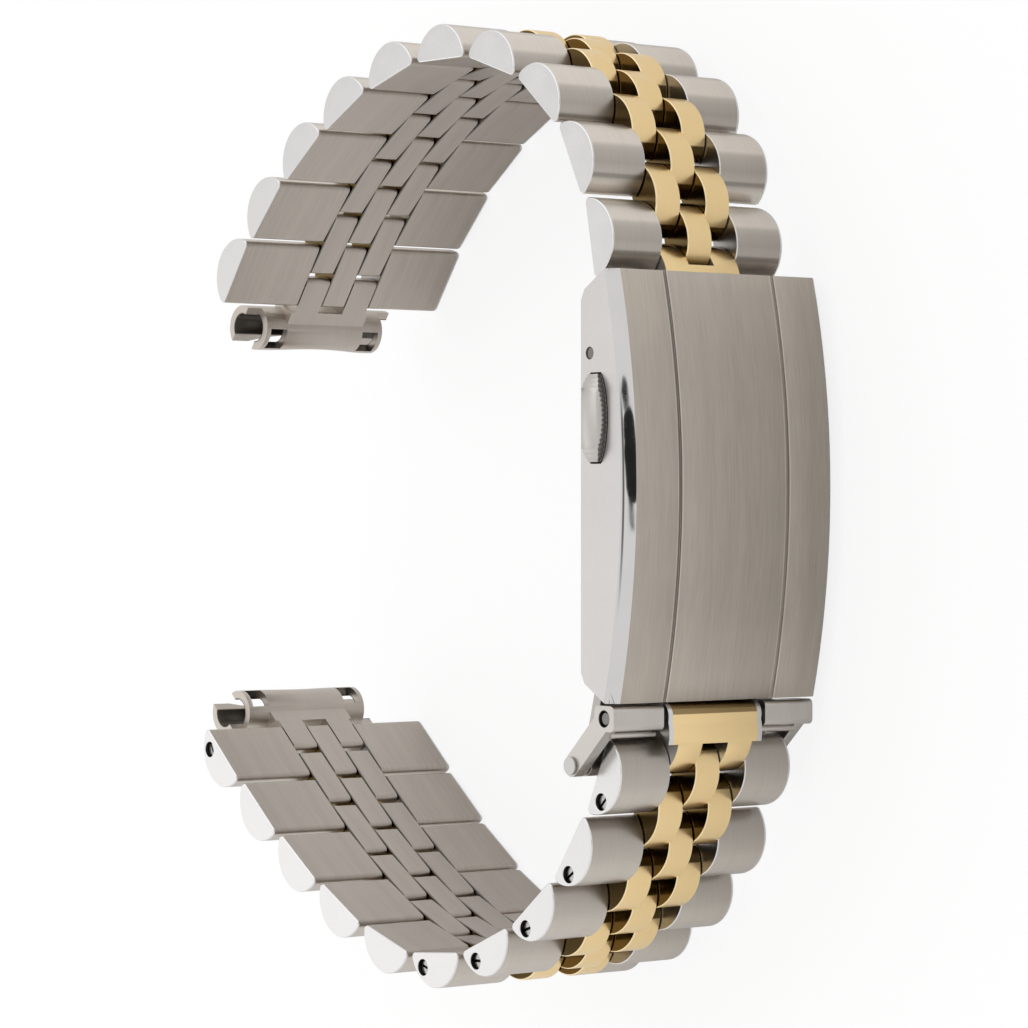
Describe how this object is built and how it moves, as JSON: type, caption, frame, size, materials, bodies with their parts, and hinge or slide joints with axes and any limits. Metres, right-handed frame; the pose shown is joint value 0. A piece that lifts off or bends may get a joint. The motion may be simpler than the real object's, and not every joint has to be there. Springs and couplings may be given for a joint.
{
  "type": "watch bracelet",
  "caption": "Metal watch bracelet of hinged round-front links in staggered columns, with a curved folding clasp, side push buttons and open case ends.",
  "frame": {"origin": "middle of the 12 o'clock case end's spring-bar channel, on the bracelet's mid-plane", "axes": "+X out of the clasp's face, +Y along the clasp towards the 12 o'clock strap, +Z along the bracelet's width and every hinge pin; it lies on its side"},
  "size_m": [0.0582, 0.0722, 0.0212],
  "materials": {
    "brushed_steel": "fine lengthwise brushing",
    "polished_steel": "polished",
    "pin_steel": "turned, plain",
    "gold": "polished gold"
  },
  "bodies": {
    "clasp_cover": {"cover": "brushed_steel", "spring_near": "pin_steel", "spring_far": "pin_steel", "spring_bar": "pin_steel", "hinge_pin": "pin_steel"},
    "button_near": {"button_near": "polished_steel"},
    "button_far": {"button_far": "polished_steel"},
    "inner_blade": {"blade_inner": "polished_steel"},
    "outer_blade": {"blade_outer": "polished_steel", "fold_pin": "pin_steel"},
    "extension": {"extension": "polished_steel", "extension_pin": "pin_steel", "strap_pin": "pin_steel"},
    "end_piece_12": {"end_piece_12": "gold"},
    "end_piece_6": {"end_piece_6": "gold"},
    "link_12_10": {"link_12_10": "brushed_steel"},
    "pair_12_9": {"pair_12_9": "gold"},
    "link_12_9": {"link_12_9": "brushed_steel"},
    "pair_12_8": {"pair_12_8": "gold"},
    "link_12_8": {"link_12_8": "brushed_steel"},
    "pair_12_7": {"pair_12_7": "gold"},
    "link_12_7": {"link_12_7": "brushed_steel"},
    "pair_12_6": {"pair_12_6": "gold"},
    "link_12_6": {"link_12_6": "brushed_steel"},
    "pair_12_5": {"pair_12_5": "gold"},
    "link_12_5": {"link_12_5": "brushed_steel"},
    "pair_12_4": {"pair_12_4": "gold"},
    "link_12_4": {"link_12_4": "brushed_steel"},
    "pair_12_3": {"pair_12_3": "gold"},
    "link_12_3": {"link_12_3": "brushed_steel"},
    "pair_12_2": {"pair_12_2": "gold"},
    "link_12_2": {"link_12_2": "brushed_steel"},
    "pair_12_1": {"pair_12_1": "gold"},
    "link_12_1": {"link_12_1": "brushed_steel"},
    "case_end_12": {"case_end_12": "polished_steel"},
    "link_6_10": {"link_6_10": "brushed_steel"},
    "pair_6_9": {"pair_6_9": "gold"},
    "link_6_9": {"link_6_9": "brushed_steel"},
    "pair_6_8": {"pair_6_8": "gold"},
    "link_6_8": {"link_6_8": "brushed_steel"},
    "pair_6_7": {"pair_6_7": "gold"},
    "link_6_7": {"link_6_7": "brushed_steel"},
    "pair_6_6": {"pair_6_6": "gold"},
    "link_6_6": {"link_6_6": "brushed_steel"},
    "pair_6_5": {"pair_6_5": "gold"},
    "link_6_5": {"link_6_5": "brushed_steel"},
    "pair_6_4": {"pair_6_4": "gold"},
    "link_6_4": {"link_6_4": "brushed_steel"},
    "pair_6_3": {"pair_6_3": "gold"},
    "link_6_3": {"link_6_3": "brushed_steel"},
    "pair_6_2": {"pair_6_2": "gold"},
    "link_6_2": {"link_6_2": "brushed_steel"},
    "pair_6_1": {"pair_6_1": "gold"},
    "link_6_1": {"link_6_1": "brushed_steel"},
    "case_end_6": {"case_end_6": "polished_steel"}
  },
  "joints": [
    {"name": "press_near", "type": "slide", "parent": "clasp_cover", "child": "button_near", "axis": [0, 0, -1], "range_m": [0, 0.0006], "stiffness_N_per_m": 1500, "deforming": ["spring_near"]},
    {"name": "press_far", "type": "slide", "parent": "clasp_cover", "child": "button_far", "axis": [0, 0, 1], "range_m": [0, 0.0006], "stiffness_N_per_m": 1500, "deforming": ["spring_far"]},
    {"name": "clasp_hinge", "type": "hinge", "parent": "clasp_cover", "child": "inner_blade", "pos_m": [0.05019, -0.02589, 0], "axis": [0, 0, 1], "range_deg": [0, 160]},
    {"name": "clasp_fold", "type": "hinge", "parent": "inner_blade", "child": "outer_blade", "pos_m": [0.05052, -0.00729, 0], "axis": [0, 0, -1], "range_deg": [0, 160]},
    {"name": "extension_hinge", "type": "hinge", "parent": "outer_blade", "child": "extension", "pos_m": [0.04674, -0.03319, 0], "axis": [0, 0, -1], "range_deg": [0, 45]},
    {"name": "strap_swing_6", "type": "hinge", "parent": "extension", "child": "end_piece_6", "pos_m": [0.05049, -0.02969, 0], "axis": [0, 0, 1], "range_deg": [-5, 30]},
    {"name": "strap_swing_12", "type": "hinge", "parent": "clasp_cover", "child": "end_piece_12", "pos_m": [0.04949, -0.00389, 0], "axis": [0, 0, 1], "range_deg": [-2, 12]},
    {"name": "bend_link_12_10", "type": "hinge", "parent": "end_piece_12", "child": "link_12_10", "pos_m": [0.04864, 0.00306, 0], "axis": [0, 0, 1], "range_deg": [-19, 16]},
    {"name": "bend_pair_12_9", "type": "hinge", "parent": "link_12_10", "child": "pair_12_9", "pos_m": [0.04803, 0.0062, 0], "axis": [0, 0, -1], "range_deg": [-12, 23]},
    {"name": "bend_link_12_9", "type": "hinge", "parent": "pair_12_9", "child": "link_12_9", "pos_m": [0.04698, 0.00922, 0], "axis": [0, 0, 1], "range_deg": [-23, 12]},
    {"name": "bend_pair_12_8", "type": "hinge", "parent": "link_12_9", "child": "pair_12_8", "pos_m": [0.04553, 0.01208, 0], "axis": [0, 0, -1], "range_deg": [-8.5, 26.5]},
    {"name": "bend_link_12_8", "type": "hinge", "parent": "pair_12_8", "child": "link_12_8", "pos_m": [0.04354, 0.01458, 0], "axis": [0, 0, 1], "range_deg": [-26.5, 8.5]},
    {"name": "bend_pair_12_7", "type": "hinge", "parent": "link_12_8", "child": "pair_12_7", "pos_m": [0.04109, 0.01664, 0], "axis": [0, 0, -1], "range_deg": [-9.5, 25.5]},
    {"name": "bend_link_12_7", "type": "hinge", "parent": "pair_12_7", "child": "link_12_7", "pos_m": [0.0383, 0.01821, 0], "axis": [0, 0, 1], "range_deg": [-25.5, 9.5]},
    {"name": "bend_pair_12_6", "type": "hinge", "parent": "link_12_7", "child": "pair_12_6", "pos_m": [0.03528, 0.01925, 0], "axis": [0, 0, -1], "range_deg": [-11, 24]},
    {"name": "bend_link_12_6", "type": "hinge", "parent": "pair_12_6", "child": "link_12_6", "pos_m": [0.03213, 0.01981, 0], "axis": [0, 0, 1], "range_deg": [-24, 11]},
    {"name": "bend_pair_12_5", "type": "hinge", "parent": "link_12_6", "child": "pair_12_5", "pos_m": [0.02893, 0.01987, 0], "axis": [0, 0, -1], "range_deg": [-12, 23]},
    {"name": "bend_link_12_5", "type": "hinge", "parent": "pair_12_5", "child": "link_12_5", "pos_m": [0.02575, 0.01948, 0], "axis": [0, 0, 1], "range_deg": [-23, 12]},
    {"name": "bend_pair_12_4", "type": "hinge", "parent": "link_12_5", "child": "pair_12_4", "pos_m": [0.02266, 0.01865, 0], "axis": [0, 0, -1], "range_deg": [-14.5, 20.5]},
    {"name": "bend_link_12_4", "type": "hinge", "parent": "pair_12_4", "child": "link_12_4", "pos_m": [0.01966, 0.01753, 0], "axis": [0, 0, 1], "range_deg": [-20.5, 14.5]},
    {"name": "bend_pair_12_3", "type": "hinge", "parent": "link_12_4", "child": "pair_12_3", "pos_m": [0.01679, 0.01612, 0], "axis": [0, 0, -1], "range_deg": [-15.5, 19.5]},
    {"name": "bend_link_12_3", "type": "hinge", "parent": "pair_12_3", "child": "link_12_3", "pos_m": [0.01403, 0.0145, 0], "axis": [0, 0, 1], "range_deg": [-19.5, 15.5]},
    {"name": "bend_pair_12_2", "type": "hinge", "parent": "link_12_3", "child": "pair_12_2", "pos_m": [0.01141, 0.01266, 0], "axis": [0, 0, -1], "range_deg": [-15, 20]},
    {"name": "bend_link_12_2", "type": "hinge", "parent": "pair_12_2", "child": "link_12_2", "pos_m": [0.00896, 0.01061, 0], "axis": [0, 0, 1], "range_deg": [-20, 15]},
    {"name": "bend_pair_12_1", "type": "hinge", "parent": "link_12_2", "child": "pair_12_1", "pos_m": [0.00669, 0.00834, 0], "axis": [0, 0, -1], "range_deg": [-16, 19]},
    {"name": "bend_link_12_1", "type": "hinge", "parent": "pair_12_1", "child": "link_12_1", "pos_m": [0.00459, 0.00593, 0], "axis": [0, 0, 1], "range_deg": [-19, 16]},
    {"name": "bend_case_end_12", "type": "hinge", "parent": "link_12_1", "child": "case_end_12", "pos_m": [0.00267, 0.00337, 0], "axis": [0, 0, -1], "range_deg": [-20, 15]},
    {"name": "bend_link_6_10", "type": "hinge", "parent": "end_piece_6", "child": "link_6_10", "pos_m": [0.04977, -0.03281, 0], "axis": [0, 0, -1], "range_deg": [-26, 9]},
    {"name": "bend_pair_6_9", "type": "hinge", "parent": "link_6_10", "child": "pair_6_9", "pos_m": [0.04847, -0.03573, 0], "axis": [0, 0, 1], "range_deg": [-14.5, 20.5]},
    {"name": "bend_link_6_9", "type": "hinge", "parent": "pair_6_9", "child": "link_6_9", "pos_m": [0.04689, -0.03852, 0], "axis": [0, 0, -1], "range_deg": [-20.5, 14.5]},
    {"name": "bend_pair_6_8", "type": "hinge", "parent": "link_6_9", "child": "pair_6_8", "pos_m": [0.04506, -0.04114, 0], "axis": [0, 0, 1], "range_deg": [-11.5, 23.5]},
    {"name": "bend_link_6_8", "type": "hinge", "parent": "pair_6_8", "child": "link_6_8", "pos_m": [0.04285, -0.04346, 0], "axis": [0, 0, -1], "range_deg": [-23.5, 11.5]},
    {"name": "bend_pair_6_7", "type": "hinge", "parent": "link_6_8", "child": "pair_6_7", "pos_m": [0.04033, -0.04543, 0], "axis": [0, 0, 1], "range_deg": [-12.5, 22.5]},
    {"name": "bend_link_6_7", "type": "hinge", "parent": "pair_6_7", "child": "link_6_7", "pos_m": [0.03758, -0.04705, 0], "axis": [0, 0, -1], "range_deg": [-22.5, 12.5]},
    {"name": "bend_pair_6_6", "type": "hinge", "parent": "link_6_7", "child": "pair_6_6", "pos_m": [0.03463, -0.0483, 0], "axis": [0, 0, 1], "range_deg": [-11, 24]},
    {"name": "bend_link_6_6", "type": "hinge", "parent": "pair_6_6", "child": "link_6_6", "pos_m": [0.03152, -0.04908, 0], "axis": [0, 0, -1], "range_deg": [-24, 11]},
    {"name": "bend_pair_6_5", "type": "hinge", "parent": "link_6_6", "child": "pair_6_5", "pos_m": [0.02834, -0.04936, 0], "axis": [0, 0, 1], "range_deg": [-9.5, 25.5]},
    {"name": "bend_link_6_5", "type": "hinge", "parent": "pair_6_5", "child": "link_6_5", "pos_m": [0.02515, -0.04905, 0], "axis": [0, 0, -1], "range_deg": [-25.5, 9.5]},
    {"name": "bend_pair_6_4", "type": "hinge", "parent": "link_6_5", "child": "pair_6_4", "pos_m": [0.02208, -0.04817, 0], "axis": [0, 0, 1], "range_deg": [-14.5, 20.5]},
    {"name": "bend_link_6_4", "type": "hinge", "parent": "pair_6_4", "child": "link_6_4", "pos_m": [0.0191, -0.047, 0], "axis": [0, 0, -1], "range_deg": [-20.5, 14.5]},
    {"name": "bend_pair_6_3", "type": "hinge", "parent": "link_6_4", "child": "pair_6_3", "pos_m": [0.01625, -0.04554, 0], "axis": [0, 0, 1], "range_deg": [-17, 18]},
    {"name": "bend_link_6_3", "type": "hinge", "parent": "pair_6_3", "child": "link_6_3", "pos_m": [0.01348, -0.04394, 0], "axis": [0, 0, -1], "range_deg": [-18, 17]},
    {"name": "bend_pair_6_2", "type": "hinge", "parent": "link_6_3", "child": "pair_6_2", "pos_m": [0.01079, -0.0422, 0], "axis": [0, 0, 1], "range_deg": [-17.5, 17.5]},
    {"name": "bend_link_6_2", "type": "hinge", "parent": "pair_6_2", "child": "link_6_2", "pos_m": [0.00819, -0.04034, 0], "axis": [0, 0, -1], "range_deg": [-17.5, 17.5]},
    {"name": "bend_pair_6_1", "type": "hinge", "parent": "link_6_2", "child": "pair_6_1", "pos_m": [0.00567, -0.03837, 0], "axis": [0, 0, 1], "range_deg": [-19, 16]},
    {"name": "bend_link_6_1", "type": "hinge", "parent": "pair_6_1", "child": "link_6_1", "pos_m": [0.00318, -0.03636, 0], "axis": [0, 0, -1], "range_deg": [-16, 19]},
    {"name": "bend_case_end_6", "type": "hinge", "parent": "link_6_1", "child": "case_end_6", "pos_m": [0.00073, -0.0343, 0], "axis": [0, 0, 1], "range_deg": [-20, 15]}
  ],
  "couplings": [
    {"joint": "clasp_hinge", "follows": "clasp_fold", "ratio": 1}
  ]
}
